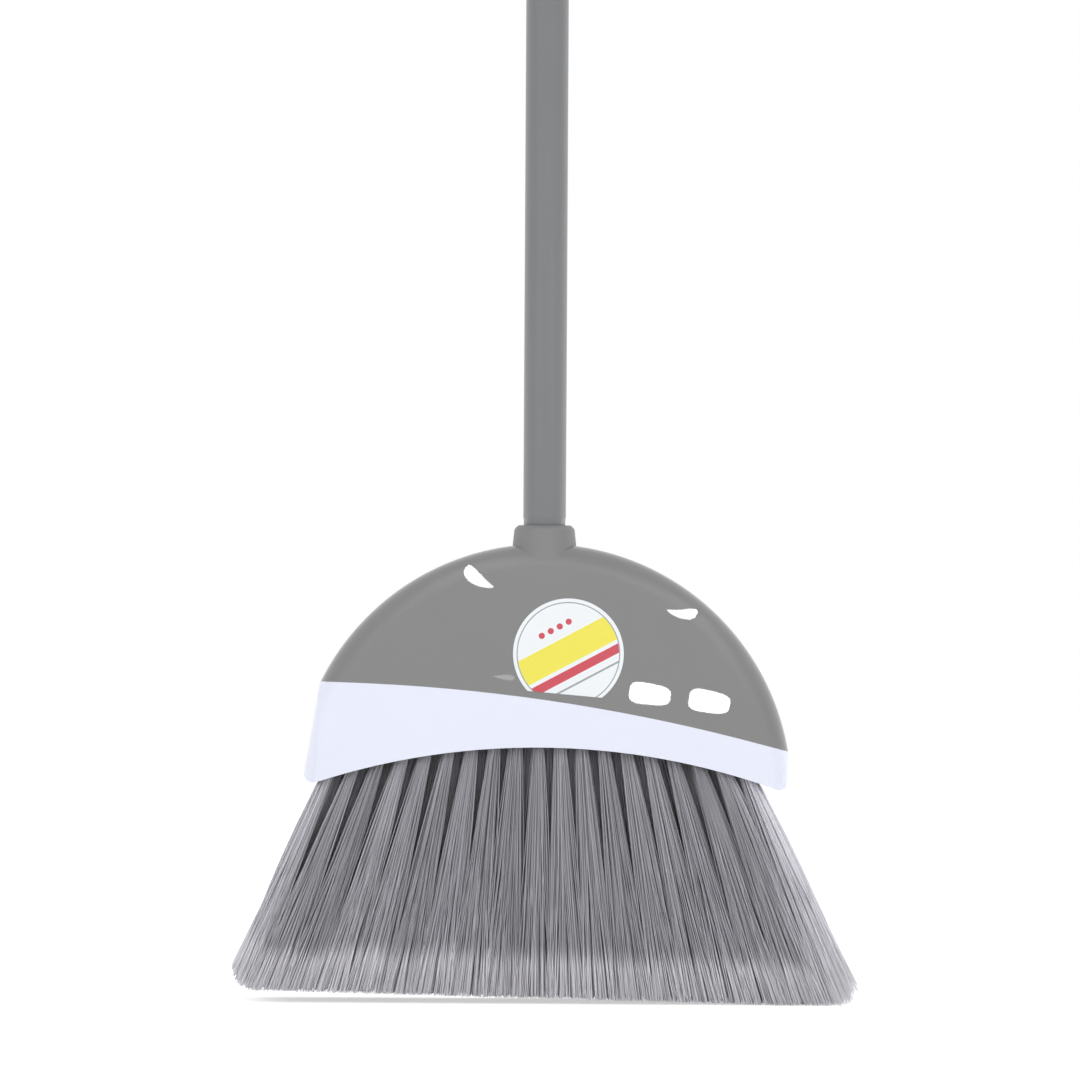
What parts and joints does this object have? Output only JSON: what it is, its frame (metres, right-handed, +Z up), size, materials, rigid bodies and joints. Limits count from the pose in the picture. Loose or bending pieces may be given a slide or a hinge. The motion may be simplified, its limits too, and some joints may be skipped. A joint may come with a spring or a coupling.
{
  "type": "broom",
  "caption": "Upright floor broom: half-disc plastic cap over a pale skirt band, fanned stapled bristle tufts and a screw-in tube handle with a hanging eye.",
  "frame": {"origin": "floor point under the handle's axis, at the level of the lowest bristle tips", "axes": "+Z up along the handle, +X to the right of the front view, front faces -Y"},
  "size_m": [0.3206, 0.0784, 1.4668],
  "materials": {
    "pole_coat": "satin coated steel tube",
    "insert_plastic": "moulded",
    "cap_plastic": "glossy moulded",
    "band_plastic": "glossy moulded",
    "block_plastic": "moulded",
    "staple_wire": "drawn wire",
    "bristle_fibre": "extruded fibre, flagged tips",
    "label_film": "printed film"
  },
  "bodies": {
    "head": {"cap_shell": "cap_plastic", "skirt_band": "band_plastic", "tuft_block": "block_plastic", "tuft_anchors": "staple_wire", "tufts_01": "bristle_fibre", "tufts_02": "bristle_fibre", "tufts_03": "bristle_fibre", "tufts_04": "bristle_fibre", "tufts_05": "bristle_fibre", "tufts_06": "bristle_fibre", "tufts_07": "bristle_fibre", "tufts_08": "bristle_fibre", "tufts_09": "bristle_fibre", "tufts_10": "bristle_fibre", "tufts_11": "bristle_fibre", "tufts_12": "bristle_fibre", "tufts_13": "bristle_fibre", "tufts_14": "bristle_fibre", "tufts_15": "bristle_fibre", "tufts_16": "bristle_fibre", "tufts_17": "bristle_fibre", "tufts_18": "bristle_fibre", "tufts_19": "bristle_fibre", "round_label": "label_film"},
    "screw_end": {"thread_insert": "insert_plastic"},
    "handle": {"pole_tube": "pole_coat", "hang_cap": "insert_plastic"}
  },
  "joints": [
    {"name": "thread_rise", "type": "slide", "parent": "head", "child": "screw_end", "axis": [0, 0, 1], "range_m": [0, 0.0294]},
    {"name": "handle_turn", "type": "hinge", "parent": "screw_end", "child": "handle", "pos_m": [0, 0, 0.231], "axis": [0, 0, 1], "range_deg": [0, 2521]}
  ],
  "couplings": [
    {"joint": "handle_turn", "follows": "thread_rise", "rad_per_m": 1496}
  ]
}
